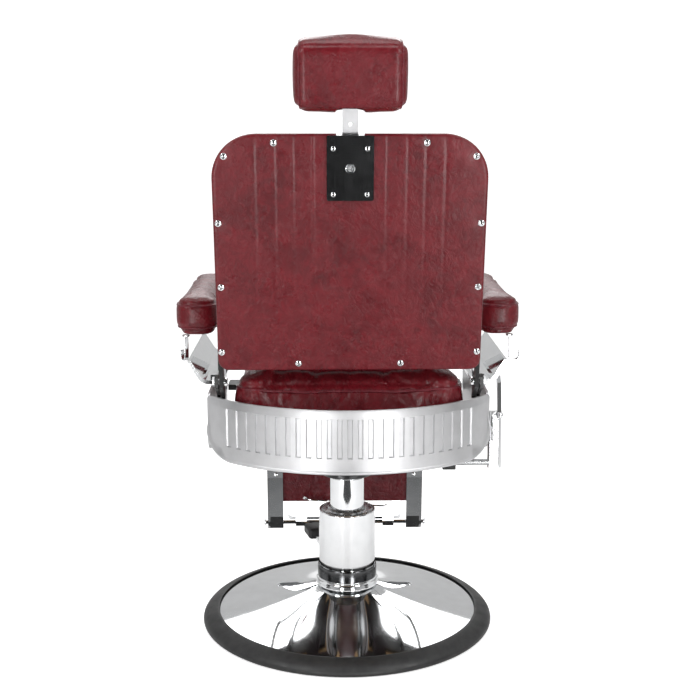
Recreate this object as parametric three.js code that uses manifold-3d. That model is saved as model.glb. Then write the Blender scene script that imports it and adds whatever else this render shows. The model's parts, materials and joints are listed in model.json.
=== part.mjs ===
// Hydraulic barber chair: round base, lifting pump, swivelling seat, reclining back, legrest and headrest.
// Millimetres, +Z up. The chair faces -Y, so the sitter's left side is +X.
// The origin is the centre of the base on the floor.
import * as THREE from "three";
import { mergeVertices } from "three/addons/utils/BufferGeometryUtils.js";
import Module from "manifold-3d";

const wasm = await Module();
wasm.setup();

// ---------- driving dimensions ----------
const GAP = 0.3; // between pieces that rest on each other
const FINE = 40; // segments of a large round piece
const COARSE = 16; // segments of a small round piece

const base = { radius: 325, plateRadius: 288, plateThick: 8, dishEdge: 291, dishEdgeZ: 27, dishTopZ: 80 };
const pump = { ramRadius: 38, sleeveRadius: 63, sleeveTop: 255, sleeveWall: 4, ramBottom: 26, ramTop: 407 };
const hub = { bottom: 336, flangeZ: 350, flangeRadius: 62, top: 420, radius: 50 };
const lever = { azimuth: 14.8, pivotRadius: 92, pivotZ: 96, length: 220, width: 20, thick: 10 };

const apron = { radius: 361.5, centreY: -15, halfWidth: 291, bottom: 434, top: 562, wall: 8, frontY: -250 };
const ribs = { count: 25, pitch: 20.2, width: 10.4, depth: 4, bottom: 463, top: 544 };
const seat = { halfWidth: 238, rearY: 272, frontY: -276, boardZ: 488, boardThick: 10, top: 612, corner: 52 };

const arm = { inner: 264, outer: 360, rearY: 160, frontY: -272, bottom: 675, top: 758 };
const armFrame = { rearY: 104, frontY: -230 };
const hook = { x: 336, y: 128, stemTop: 674, drop: 45, radius: 12, wire: 2.6 };

const back = { pivotY: 248, pivotZ: 600, lean: 10.4, footY: 278, footZ: 628, length: 466, halfWidth: 257, corner: 84 };
const backDepth = { panel: 8, board: 20, cushion: 72 };
const iron = { inner: 249, outer: 257 };
const tail = { y: -36, z: -86 }; // from each pivot to the pin of the link below it, the same for back and legrest

const post = { width: 29, thick: 7, from: 350, to: 524 };
const headrest = { halfWidth: 107, height: 135, depth: 92, bottom: 502, rear: 12 };
const legrest = { pivotY: -268, pivotZ: 455, inner: 155, outer: 194, footY: -342, footZ: 106 };
const reclineLever = { y: 105, z: 390, inner: 299, outer: 329 };

// ---------- materials ----------
const material = (color, roughness, metalness) => new THREE.MeshStandardMaterial({ color, roughness, metalness });
const chrome = material(0xe6e8ea, 0.08, 1);
const castAluminium = material(0xc9cacc, 0.3, 1);
const steel = material(0x9a9da0, 0.35, 1);
const stainless = material(0x6f7274, 0.28, 1);
const blackPaint = material(0x151515, 0.45, 0.2);
const rubber = material(0x121212, 0.8, 0);
const leather = material(0x5e1a1f, 0.35, 0);
const plywood = material(0xb38a5c, 0.8, 0);

// ---------- shape helpers ----------
const radians = THREE.MathUtils.degToRad;

// A geometry's position-only, merged form, with its faces pointing out.
function closed(geometry) {
  const bare = new THREE.BufferGeometry();
  bare.setAttribute("position", geometry.getAttribute("position"));
  if (geometry.index) bare.setIndex(geometry.index);
  const merged = mergeVertices(bare, 1e-3);
  const p = merged.getAttribute("position");
  const index = Array.from(merged.index.array);
  const kept = [];
  let volume = 0;
  const [a, b, c] = [new THREE.Vector3(), new THREE.Vector3(), new THREE.Vector3()];
  for (let i = 0; i < index.length; i += 3) {
    const [u, v, w] = index.slice(i, i + 3);
    if (u === v || v === w || u === w) continue;
    kept.push(u, v, w);
    volume += a.fromBufferAttribute(p, u).dot(b.fromBufferAttribute(p, v).cross(c.fromBufferAttribute(p, w)));
  }
  merged.setIndex(volume < 0 ? kept.reverse() : kept);
  return merged;
}

function toSolid(geometry) {
  const g = closed(geometry);
  const mesh = new wasm.Mesh({
    numProp: 3,
    vertProperties: new Float32Array(g.getAttribute("position").array),
    triVerts: new Uint32Array(g.index.array),
  });
  return new wasm.Manifold(mesh);
}

function fromSolid(solid) {
  const mesh = solid.getMesh();
  const g = new THREE.BufferGeometry();
  g.setAttribute("position", new THREE.BufferAttribute(new Float32Array(mesh.vertProperties), 3));
  g.setIndex(new THREE.BufferAttribute(new Uint32Array(mesh.triVerts), 1));
  return g;
}

const join = (...parts) => fromSolid(parts.map(toSolid).reduce((sum, s) => sum.add(s)));
const cut = (body, ...tools) => fromSolid(tools.map(toSolid).reduce((rest, s) => rest.subtract(s), toSolid(body)));
const common = (a, b) => fromSolid(toSolid(a).intersect(toSolid(b)));

// A box from its lowest to its highest corner.
function box(x0, x1, y0, y1, z0, z1) {
  return new THREE.BoxGeometry(x1 - x0, y1 - y0, z1 - z0).translate((x0 + x1) / 2, (y0 + y1) / 2, (z0 + z1) / 2);
}

function rodX(radius, x0, x1, y, z, sides = COARSE) {
  return new THREE.CylinderGeometry(radius, radius, x1 - x0, sides).rotateZ(Math.PI / 2).translate((x0 + x1) / 2, y, z);
}

function rodY(radius, y0, y1, x, z, sides = COARSE) {
  return new THREE.CylinderGeometry(radius, radius, y1 - y0, sides).translate(x, (y0 + y1) / 2, z);
}

function rodZ(radius, z0, z1, x, y, sides = COARSE) {
  return new THREE.CylinderGeometry(radius, radius, z1 - z0, sides).rotateX(Math.PI / 2).translate(x, y, (z0 + z1) / 2);
}

// A profile of [radius, z] turned round the Z axis. It starts and ends on the axis or closes on itself.
function turned(profile, sides = FINE) {
  const onAxis = profile[0][0] === 0;
  const points = (onAxis ? profile : [...profile, profile[0]]).map(([r, z]) => new THREE.Vector2(r, z));
  return new THREE.LatheGeometry(points, sides).rotateX(Math.PI / 2);
}

function shapeOf(points) {
  return new THREE.Shape(points.map(([x, y]) => new THREE.Vector2(x, y)));
}

function roundedRect(x0, x1, y0, y1, r, rTop = r) {
  const s = new THREE.Shape();
  s.moveTo(x0 + r, y0);
  s.lineTo(x1 - r, y0);
  s.absarc(x1 - r, y0 + r, r, -Math.PI / 2, 0);
  s.lineTo(x1, y1 - rTop);
  s.absarc(x1 - rTop, y1 - rTop, rTop, 0, Math.PI / 2);
  s.lineTo(x0 + rTop, y1);
  s.absarc(x0 + rTop, y1 - rTop, rTop, Math.PI / 2, Math.PI);
  s.lineTo(x0, y0 + r);
  s.absarc(x0 + r, y0 + r, r, Math.PI, 1.5 * Math.PI);
  return s;
}

const slab = (shape, depth, curveSegments = 6) =>
  new THREE.ExtrudeGeometry(shape, { depth, bevelEnabled: false, curveSegments });

// Shapes drawn in the XY, XZ or YZ plane and extruded along the third axis.
const alongZ = (shape, z0, z1, curves) => slab(shape, z1 - z0, curves).translate(0, 0, z0);
const alongY = (shape, y0, y1, curves) => slab(shape, y1 - y0, curves).rotateX(Math.PI / 2).translate(0, y1, 0);
const YZ_TO_X = new THREE.Matrix4().makeBasis(
  new THREE.Vector3(0, 1, 0), new THREE.Vector3(0, 0, 1), new THREE.Vector3(1, 0, 0),
);
const alongX = (shape, x0, x1, curves) => slab(shape, x1 - x0, curves).applyMatrix4(YZ_TO_X).translate(x0, 0, 0);

// A padded block: an outline with rounded edges all round, lying between z0 and z1.
function padded(shape, z0, z1, edge) {
  const g = new THREE.ExtrudeGeometry(shape, {
    depth: z1 - z0 - 2 * edge, bevelEnabled: true, bevelThickness: edge, bevelSize: edge,
    bevelOffset: -edge, bevelSegments: 2, curveSegments: 4,
  });
  return g.translate(0, 0, z0 + edge);
}

const chair = new THREE.Group();

function place(name, geometry, finish, parent = chair) {
  const mesh = new THREE.Mesh(closed(geometry), finish);
  mesh.name = name;
  parent.add(mesh);
  return mesh;
}

// The same piece on both sides: make(side) is given 1 for the sitter's left and -1 for the right.
function bothSides(name, make, finish, parent = chair) {
  place(name + "_left", make(1), finish, parent);
  place(name + "_right", make(-1), finish, parent);
}

const mirrored = (geometry, side) => (side > 0 ? geometry : geometry.scale(-1, 1, 1));

// ---------- base and pump ----------
function dishHeight(r) {
  const t = (base.dishEdge - r) / (base.dishEdge - pump.sleeveRadius);
  return base.dishEdgeZ + (base.dishTopZ - base.dishEdgeZ) * (0.72 * t + 0.28 * t ** 4);
}

function makeBase() {
  const { plateRadius, plateThick } = base;
  place("base_plate", turned([[0, 0], [plateRadius, 0], [plateRadius, plateThick], [0, plateThick]]), blackPaint);

  const ring = [[plateRadius + 2, 0], [319, 0], [base.radius, 5], [base.radius, 13], [317, 21], [305, 28],
    [291, 32], [288, 31], [292, 28], [292, 20]];
  place("rim_ring", turned(ring), rubber);

  const radii = [base.dishEdge, 230, 160, 105, pump.sleeveRadius + 2];
  const sheet = 3;
  const skin = radii.map((r) => [r, dishHeight(r)]);
  const under = radii.map((r) => [r, dishHeight(r) - sheet]).reverse();
  place("base_dish", turned([...skin, ...under]), chrome);

  const inner = pump.sleeveRadius + GAP;
  const collar = [[inner, 83], [70.5, 83], [70.5, 93], [66.5, 96], [66.5, 125], [inner, 126]];
  place("base_collar", turned(collar), chrome);

  const bore = pump.sleeveRadius - pump.sleeveWall;
  place("pump_sleeve", turned([[bore, 70], [pump.sleeveRadius, 70], [pump.sleeveRadius, pump.sleeveTop - 2],
    [pump.sleeveRadius - 1.5, pump.sleeveTop], [bore, pump.sleeveTop]]), chrome);

  const foot = base.plateThick + GAP;
  const ramBore = pump.ramRadius + 0.4;
  place("pump_body", turned([[0, foot], [105, foot], [105, foot + 12], [56, foot + 14], [56, 242], [ramBore, 242],
    [ramBore, pump.ramBottom - GAP], [0, pump.ramBottom - GAP]]), steel);

  place("pump_gland", turned([[pump.ramRadius + 0.2, 242.4], [bore - GAP, 242.4], [bore - GAP, 253], [55, 256.5],
    [pump.ramRadius + 3, 256.5], [pump.ramRadius + 0.2, 260]]), rubber);
}

function makePumpLever() {
  const side = new THREE.Group();
  side.rotation.z = radians(lever.azimuth);
  chair.add(side);
  const { pivotRadius: r, pivotZ: z, width: w, thick: t } = lever;
  const half = w / 2 + GAP;

  // Yoke: two ears on a block that stands on the collar and the dish.
  const earShape = shapeOf([[-72, 97], [-72, 118], [-r - 6, 108], [-r - 10, z], [-r - 4, 85.5], [-72, 85.5]]);
  const ears = alongX(earShape, -half - 7, half + 7);
  const slot = box(-half, half, -r - 20, -78, 80, 130);
  const pinHole = rodX(4.3, -30, 30, -r, z, 12);
  place("lever_yoke", cut(ears, slot, pinHole), chrome, side);
  place("lever_pin", rodX(4, -half - 9, half + 9, -r, z, 12), steel, side);

  const end = -r - lever.length;
  const barShape = shapeOf([[-r + 8, z - 5], [-r + 8, z + 5], [-r - 30, z + t / 2 + 1], [-r - 150, z + t / 2 + 3],
    [end, z + 3], [end, z + 3 - t], [-r - 150, z - t / 2 + 3], [-r - 30, z - t / 2 + 1]]);
  const bar = alongX(barShape, -w / 2, w / 2);
  place("pump_lever_arm", cut(bar, rodX(4.6, -30, 30, -r, z, 12)), chrome, side);

  const pad = alongX(roundedRect(end - 12, end + 48, z - 7, z + 20, 8), -22, 22, 3);
  const socket = box(-w / 2 - GAP, w / 2 + GAP, end - GAP, end + 60, z - 7 - GAP, z + 7);
  place("pump_pedal", cut(pad, socket), rubber, side);
}

function makeRam() {
  place("ram", turned([[0, pump.ramBottom], [pump.ramRadius - 2, pump.ramBottom], [pump.ramRadius, pump.ramBottom + 2],
    [pump.ramRadius, pump.ramTop], [0, pump.ramTop]]), chrome);
}

// ---------- seat ----------
function makeSeatFrame() {
  const bore = pump.ramRadius + 0.4;
  const { bottom, flangeRadius, flangeZ, radius, top } = hub;
  place("swivel_hub", turned([[0, pump.ramTop + 1], [bore, pump.ramTop + 1], [bore, bottom],
    [flangeRadius - 6, bottom], [flangeRadius, flangeZ + 12], [radius, flangeZ + 28], [radius, top], [0, top]]), blackPaint);

  const plateTop = hub.top + GAP + 8;
  place("mount_plate", alongZ(roundedRect(-140, 140, -150, 130, 20), hub.top + GAP, plateTop, 3), blackPaint);

  const memberFoot = seat.boardZ - 14;
  const railFoot = plateTop + 16 + 2 * GAP;
  bothSides("frame_rail", (s) => mirrored(box(95, 135, -232 + GAP, 118, railFoot, seat.boardZ - GAP), s), blackPaint);
  place("cross_member_rear", box(-280, 280, 60, 92, plateTop + GAP, plateTop + GAP + 16), blackPaint);
  const { pivotY, pivotZ, outer } = legrest;
  const ears = [-1, 1].map((s) => {
    const ear = alongX(shapeOf([[pivotY - 14, pivotZ - 12], [pivotY + 14, pivotZ - 12],
      [pivotY + 22, memberFoot + 1], [pivotY - 18, memberFoot + 1]]), outer + 3, outer + 9);
    return mirrored(cut(ear, rodX(5.3, 0, 300, pivotY, pivotZ, 12)), s);
  });
  place("cross_member_front", join(box(-280, 280, -288, -232, memberFoot, seat.boardZ - GAP), ...ears), blackPaint);

  const { pivotY: y, pivotZ: z } = back;
  const bracket = alongX(shapeOf([[92 + GAP, 430], [196, 468], [207, 563], [y + 14, z - 11], [y + 14, z + 10],
    [y - 12, z + 12], [186, 575], [172, 486], [92 + GAP, 446]]), iron.outer + 3, iron.outer + 10);
  bothSides("hinge_bracket", (s) => mirrored(cut(bracket, rodX(6.3, 200, 300, y, z, 16)), s), blackPaint);
  bothSides("pivot_pin", (s) => mirrored(join(
    rodX(6, iron.inner - 2.5, iron.outer + 12, y, z, 16), rodX(10, iron.outer + 10.4, iron.outer + 15, y, z, 6)), s), steel);

  place("seat_board", alongZ(roundedRect(-226, 226, -255, 240, 40), seat.boardZ, seat.boardZ + seat.boardThick, 3), plywood);
  const outline = roundedRect(-seat.halfWidth, seat.halfWidth, seat.frontY, seat.rearY, 60, seat.corner);
  place("seat_cushion", padded(outline, seat.boardZ + seat.boardThick + GAP, seat.top, 26), leather);
}

function apronBand(inner, outer, z0, z1) {
  const half = Math.asin(apron.halfWidth / apron.radius);
  const s = new THREE.Shape();
  s.absarc(0, apron.centreY, outer, Math.PI / 2 - half, Math.PI / 2 + half, false);
  s.absarc(0, apron.centreY, inner, Math.PI / 2 + half, Math.PI / 2 - half, true);
  return alongZ(s, z0, z1, 28);
}

// The cast apron: a curved rear shell and two straight sides, each with a field of upright grooves.
function makeApron() {
  const { radius, wall, bottom, top, halfWidth } = apron;
  const shell = apronBand(radius - wall, radius, bottom, top);
  const front = alongY(roundedRect(-halfWidth, halfWidth, bottom, top + 60, 46, 10), 100, 400);
  const field = apronBand(radius - ribs.depth, radius + 6, ribs.bottom, ribs.top);
  const first = (-(ribs.count - 1) / 2) * ribs.pitch;
  const comb = Array.from({ length: ribs.count }, (_, i) => {
    const x = first + i * ribs.pitch;
    return box(x - ribs.width / 2, x + ribs.width / 2, 80, 400, ribs.bottom - 1, ribs.top + 1);
  });
  place("apron_rear", cut(common(shell, front), common(field, join(...comb))), castAluminium);

  const rearY = apron.centreY + Math.sqrt((radius - wall) ** 2 - halfWidth ** 2) - 3;
  const sideCount = 18;
  bothSides("apron_side", (s) => {
    const plate = alongX(roundedRect(apron.frontY, rearY, bottom, top, 46, 3), halfWidth - wall, halfWidth, 4);
    const grooves = Array.from({ length: sideCount }, (_, i) => {
      const y = apron.frontY + 48 + i * ribs.pitch;
      return box(halfWidth - ribs.depth, halfWidth + 5, y - ribs.width / 2, y + ribs.width / 2, ribs.bottom, ribs.top);
    });
    return mirrored(cut(plate, ...grooves), s);
  }, castAluminium);
}

function makeArms() {
  // A wing that flares out over the side apron, and two posts that carry the pad.
  const wing = new THREE.Shape();
  wing.moveTo(262, 563);
  wing.lineTo(298, 563);
  wing.quadraticCurveTo(312, 566, 320, 582);
  wing.lineTo(338, 612);
  wing.lineTo(331, 614);
  wing.lineTo(313, 585);
  wing.quadraticCurveTo(306, 572, 294, 571);
  wing.lineTo(262, 571);
  const posts = [-190, 15].map((y) => box(266, 276, y, y + 60, 570, arm.bottom - GAP));
  const feet = [-190, 15].map((y) => box(266, 292, y, y + 60, 570, 577));
  bothSides("arm_frame", (s) => {
    const sweep = alongY(wing, armFrame.frontY, armFrame.rearY, 4);
    return mirrored(join(sweep, ...posts.map((g) => g.clone()), ...feet.map((g) => g.clone())), s);
  }, chrome);

  const outline = roundedRect(arm.inner, arm.outer, arm.frontY, arm.rearY, 38, 38);
  bothSides("arm_pad", (s) => mirrored(padded(outline, arm.bottom, arm.top, 24), s), leather);
}

// A J hook of flat strip, hanging from a round head that turns under the pad.
function hookShape() {
  const { stemTop, drop, radius, wire } = hook;
  const s = new THREE.Shape();
  const bottom = stemTop - drop;
  s.moveTo(-wire / 2, stemTop);
  s.lineTo(-wire / 2, bottom);
  s.absarc(radius - wire / 2, bottom, radius, Math.PI, 2 * Math.PI, false);
  s.lineTo(2 * radius - wire / 2, bottom + 10);
  s.lineTo(2 * radius - wire / 2 - wire, bottom + 10);
  s.absarc(radius - wire / 2, bottom, radius - wire, 2 * Math.PI, Math.PI, true);
  s.lineTo(wire / 2, stemTop);
  return s;
}

function makeHooks() {
  bothSides("strop_hook", (s) => {
    const head = rodZ(8, hook.stemTop - 4, hook.stemTop, 0, 0, 12);
    const blade = alongY(hookShape(), -5, 5, 5);
    return join(head, blade).rotateZ(s > 0 ? radians(-62) : Math.PI).translate(s * hook.x, hook.y, 0);
  }, chrome);
}

// ---------- recline control ----------
function makeReclineControl() {
  const { y, z, inner, outer } = reclineLever;
  place("lever_shaft", rodX(7, -inner - 14, -150, y, z, 16), steel);
  const hanger = box(-230, -202, 62, y + 13, z - 13, hub.top + 8 + GAP);
  const bore = rodX(7.3, -300, -200, y, z, 16);
  place("shaft_bearing", cut(hanger, bore, box(-224, -208, 50, y + 20, z + 13, 421)), blackPaint);

  const grip = alongZ(roundedRect(-outer, -inner, -9, 9, 8.8), 0, 122, 4).rotateX(radians(5)).translate(0, y, z - 12);
  const blade = alongX(shapeOf([[y - 6, 482], [y + 8, 490], [y - 8, 562], [y - 22, 576], [y - 26, 570], [y - 20, 547]]), -326, -318);
  place("recline_lever", cut(join(grip, blade), rodX(7.3, -inner - 14.4, 0, y, z, 16)), chrome);
}

// ---------- back and headrest, drawn upright and then leaned ----------
// In this group x is the chair's X, y runs towards the rear from the panel's rear face, and z runs up the back.
const backGroup = new THREE.Group();
backGroup.position.set(0, back.footY, back.footZ);
backGroup.rotation.x = -radians(back.lean);
chair.add(backGroup);

// Half of the rear panel's twelve screws on each side: x across, z up the panel.
const panelScrews = [-1, 1].flatMap((s) =>
  [[233, 425], [247, 298], [246, 172], [249, 39], [141, 450], [100, 15]].map(([x, z]) => [s * x, z]));

function makeBack() {
  const { panel, board, cushion } = backDepth;
  const slotHalf = 26;
  const slotFoot = back.length - 122;
  const outline = roundedRect(-back.halfWidth, back.halfWidth, 0, back.length, 20, back.corner);
  const window = box(-slotHalf, slotHalf, -40, 10, slotFoot + 2, back.length + 10);
  const washers = panelScrews.map(([x, z]) => rodY(7, -1, 1.6, x, z, 12));
  place("back_panel", join(cut(alongY(outline, -panel, 0, 5), window), ...washers), leather, backGroup);

  const core = alongY(roundedRect(-232, 232, 14, back.length - 8, 12, 76), -panel - board, -panel - GAP, 4);
  place("back_board", cut(core, window), plywood, backGroup);

  const pad = roundedRect(-back.halfWidth + 6, back.halfWidth - 6, 6, back.length - 5, 30, back.corner - 3);
  const rear = -panel - board - GAP;
  const soft = padded(pad, 0, cushion, 24).rotateX(Math.PI / 2).translate(0, rear, 0);
  place("back_cushion", soft, leather, backGroup);

  // Housing of the sliding post: a channel let into the board behind the cover plate.
  const channelFront = -panel - 14;
  const channel = alongZ(shapeOf([[-22, channelFront], [22, channelFront], [22, -1], [16, -1],
    [16, channelFront + 4], [-16, channelFront + 4], [-16, -1], [-22, -1]]), slotFoot + 4, back.length - 4);
  place("slide_housing", channel, steel, backGroup);
  const plate = alongY(roundedRect(-43.5, 43.5, back.length - 124, back.length - 2, 3), GAP, 3, 2);
  place("headrest_plate", cut(plate, rodY(6.6, -5, 10, 0, back.length - 62, 16)), stainless, backGroup);
}

function makeLockButton() {
  place("lock_button", rodY(6, -5.5, 8, 0, back.length - 62, 16), steel, backGroup);
}

function makeIrons() {
  const lean = radians(back.lean);
  // A point s up the back and t behind the panel's rear face, in the chair's own Y and Z.
  const on = (t, s) => [
    back.footY + t * Math.cos(lean) + s * Math.sin(lean),
    back.footZ - t * Math.sin(lean) + s * Math.cos(lean),
  ];
  const { pivotY: y, pivotZ: z } = back;
  const [pinY, pinZ] = [y + tail.y, z + tail.z];
  const outline = shapeOf([[pinY - 11, pinZ - 4], [pinY, pinZ - 11], [pinY + 11, pinZ - 4], [224, 564],
    [y + 14, z - 10], on(-9, 8), on(-9, 150), on(-27, 150), on(-27, 16), [y - 13, z + 6], [214, 568]]);
  bothSides("back_iron", (s) => {
    const plate = cut(alongX(outline, iron.inner, iron.outer), rodX(6.4, 200, 300, y, z, 16));
    return mirrored(join(plate, rodX(5, iron.inner - 8, iron.inner + 1, pinY, pinZ, 12)), s);
  }, blackPaint);
}

function makeHeadrest() {
  const front = -backDepth.panel - 9.6;
  const middle = front + post.thick / 2;
  const half = post.width / 2;
  const holes = Array.from({ length: 6 }, (_, i) => rodY(4.2, -60, 20, 0, post.from + 22 + i * 22, 10));
  const bar = box(-half, half, front, front + post.thick, post.from, post.to);
  const eye = rodX(9, -half, half, middle, post.to, 16);
  const eyeBore = rodX(4.3, -half - 1, half + 1, middle, post.to, 12);
  place("headrest_post", cut(join(cut(bar, ...holes), eye), eyeBore), chrome, backGroup);

  // The bracket sits in a pocket in the cushion, so the post goes in from below.
  const pocketFront = front - 15.4;
  const rear = pocketFront + 4 + GAP;
  const ear = shapeOf([[rear - 0.5, post.to - 11], [middle + 6, post.to - 8], [middle + 9, post.to],
    [middle + 6, post.to + 8], [rear - 0.5, post.to + 11]]);
  const ears = [half + GAP, -half - GAP - 5].map((x) => alongX(ear, x, x + 5));
  const plate = box(-20, 20, pocketFront + GAP, rear, post.to - 12, post.to + 20);
  place("tilt_bracket", join(plate, ...ears, rodX(4, -half - 8, half + 8, middle, post.to, 12)), steel, backGroup);

  const { halfWidth, bottom, height, depth, rear: back } = headrest;
  const outline = roundedRect(-halfWidth, halfWidth, bottom, bottom + height, 28);
  const soft = padded(outline, 0, depth, 22).rotateX(Math.PI / 2).translate(0, back, 0);
  // The pocket's mouth widens towards the front, which lets the post pass when the cushion tilts forward.
  const pocket = alongX(shapeOf([[pocketFront, post.to + 24], [pocketFront, post.to - 6], [pocketFront - 16, bottom - 5],
    [middle + 13, bottom - 5], [middle + 13, post.to + 24]]), -24, 24);
  place("headrest_cushion", cut(soft, pocket), leather, backGroup);
}

// ---------- legrest ----------
function makeLegrest() {
  const { pivotY: py, pivotZ: pz, inner, outer, footY, footZ } = legrest;
  const [pinY, pinZ] = [py + tail.y, pz + tail.z];
  // Flat side bars from the pivot to the footrest, with a rear flange that carries the calf board.
  const bar = alongX(shapeOf([[py - 10, pz + 10], [py - 13, pz - 6], [-318, 369], [-322, 300], [-336, 230],
    [-358, footZ + 4], [-352, footZ - 14], [-332, footZ - 14], [-326, footZ + 6], [-314, 230], [-300, 300],
    [-286, 369], [py + 13, pz - 6], [py + 10, pz + 10]]), outer - 6, outer);
  const flange = alongX(shapeOf([[-300, 300], [-314, 230], [-325, 125], [-334, 92], [-339, 92], [-330, 125],
    [-319, 230], [-305, 300]]), inner, outer - 5);
  const pin = rodX(5, outer - 1, iron.inner - 1, pinY, pinZ, 12);
  const holes = [rodX(5.3, 100, 300, py, pz, 12), rodX(6.3, 100, 300, footY, footZ, 12)];
  bothSides("legrest_bracket", (s) => mirrored(join(cut(join(bar, flange), ...holes), pin), s), chrome);
  bothSides("legrest_pivot", (s) => mirrored(rodX(5, outer - 12, outer + 12, py, pz, 12), s), steel);

  const board = shapeOf([[-282, 430], [-300, 345], [-305.5, 300], [-319.5, 230], [-327, 165], [-337, 165],
    [-329.5, 230], [-315.5, 300], [-310, 345], [-292, 430]]);
  place("calf_board", alongX(board, -180, 180), leather);
  const pad = shapeOf([[-292.5, 431], [-310.5, 345], [-316, 300], [-330, 230], [-337.5, 163], [-360, 162],
    [-372, 180], [-366, 240], [-340, 400], [-322, 436]]);
  place("calf_pad", alongX(pad, -150, 150), leather);

  // Links from the back irons to the side bars. Each stays parallel to the line between the two pivots.
  const run = [back.pivotY - py, back.pivotZ - pz];
  const half = Math.hypot(...run) / 2;
  const strip = roundedRect(-half - 11, half + 11, -8, 8, 7.9);
  const middle = [pinY + run[0] / 2, pinZ + run[1] / 2];
  const link = alongX(strip, -3, 3, 4).rotateX(Math.atan2(run[1], run[0])).translate(0, ...middle);
  const bores = [[pinY, pinZ], [pinY + run[0], pinZ + run[1]]].map(([y, z]) => rodX(5.3, -10, 10, y, z, 12));
  bothSides("drive_link", (s) => mirrored(cut(link, ...bores).translate(iron.inner - 4.5, 0, 0), s), blackPaint);
}

function makeFootrest() {
  const { footY, footZ, outer } = legrest;
  place("foot_hinge_rod", rodX(6, -outer - 5, outer + 5, footY, footZ, 12), chrome);
  const near = footY - 10;
  const far = footY - 184;
  const half = 145;
  const frame = alongZ(roundedRect(-half, half, far, near, 26), footZ - 7, footZ + 7, 5);
  const windows = [-1, 1].map((s) => {
    const x0 = s > 0 ? 12 : -half + 22;
    return alongZ(roundedRect(x0, x0 + half - 34, far + 22, near - 26, 18), footZ - 20, footZ + 20, 5);
  });
  const lugs = [-1, 1].map((s) => box(s * 110 - 14, s * 110 + 14, near - 4, footY + 9, footZ - 7, footZ + 7));
  const bore = rodX(6.4, -300, 300, footY, footZ, 12);
  const flat = cut(join(frame, ...lugs), ...windows, bore);
  const raised = flat.translate(0, -footY, -footZ).rotateX(-radians(16)).translate(0, footY, footZ);
  place("footrest", raised, chrome);
}

makeBase();
makePumpLever();
makeRam();
makeSeatFrame();
makeApron();
makeArms();
makeHooks();
makeReclineControl();
makeBack();
makeLockButton();
makeIrons();
makeHeadrest();
makeLegrest();
makeFootrest();

export default chair;
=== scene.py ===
"""Looks of the hydraulic barber chair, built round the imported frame. Metres, +Z up, the chair faces -Y."""
import json
import math

import bmesh
import bpy
from mathutils import Matrix, Vector, noise
from mathutils.bvhtree import BVHTree


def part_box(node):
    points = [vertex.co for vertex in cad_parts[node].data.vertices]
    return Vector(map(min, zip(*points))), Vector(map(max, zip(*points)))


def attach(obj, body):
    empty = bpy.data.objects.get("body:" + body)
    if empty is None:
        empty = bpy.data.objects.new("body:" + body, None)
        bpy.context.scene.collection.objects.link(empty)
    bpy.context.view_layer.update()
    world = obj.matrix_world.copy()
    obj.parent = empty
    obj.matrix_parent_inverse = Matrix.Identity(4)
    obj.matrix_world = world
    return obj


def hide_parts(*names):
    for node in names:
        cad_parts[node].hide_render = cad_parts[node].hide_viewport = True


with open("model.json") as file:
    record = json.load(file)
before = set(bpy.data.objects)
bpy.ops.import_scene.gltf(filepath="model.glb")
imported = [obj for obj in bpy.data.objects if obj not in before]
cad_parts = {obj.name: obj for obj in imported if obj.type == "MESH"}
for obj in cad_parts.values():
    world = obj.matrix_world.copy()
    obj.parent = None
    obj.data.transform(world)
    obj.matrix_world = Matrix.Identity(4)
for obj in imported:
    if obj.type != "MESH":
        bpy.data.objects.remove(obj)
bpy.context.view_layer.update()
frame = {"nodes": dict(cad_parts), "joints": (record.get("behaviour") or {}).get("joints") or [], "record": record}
MM = 0.001


# ---------------------------------------------------------------- reading the frame
def node_points(node, into=Matrix.Identity(4)):
    """A CAD node's points in the frame whose inverse is into."""
    return [into @ v.co for v in frame["nodes"][node].data.vertices]


def local_box(node, into=Matrix.Identity(4)):
    pts = node_points(node, into)
    return Vector(map(min, zip(*pts))), Vector(map(max, zip(*pts)))


def joint(name):
    return next(j for j in frame["joints"] if j["name"] == name)


UP_BACK = Vector(joint("headrest_height")["axis"])
LEAN = math.atan2(UP_BACK.y, UP_BACK.z)
PANEL_THICK = 8 * MM
_panel_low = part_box("back_panel")[0]
# The back's own frame: x across, y behind the panel's rear face, z up the panel.
_panel_foot = Matrix.Translation((0, _panel_low.y + PANEL_THICK * math.cos(LEAN), _panel_low.z))
BACK = _panel_foot @ Matrix.Rotation(-LEAN, 4, "X")
TO_BACK = BACK.inverted()
FLAT = Matrix.Identity(4)


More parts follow.
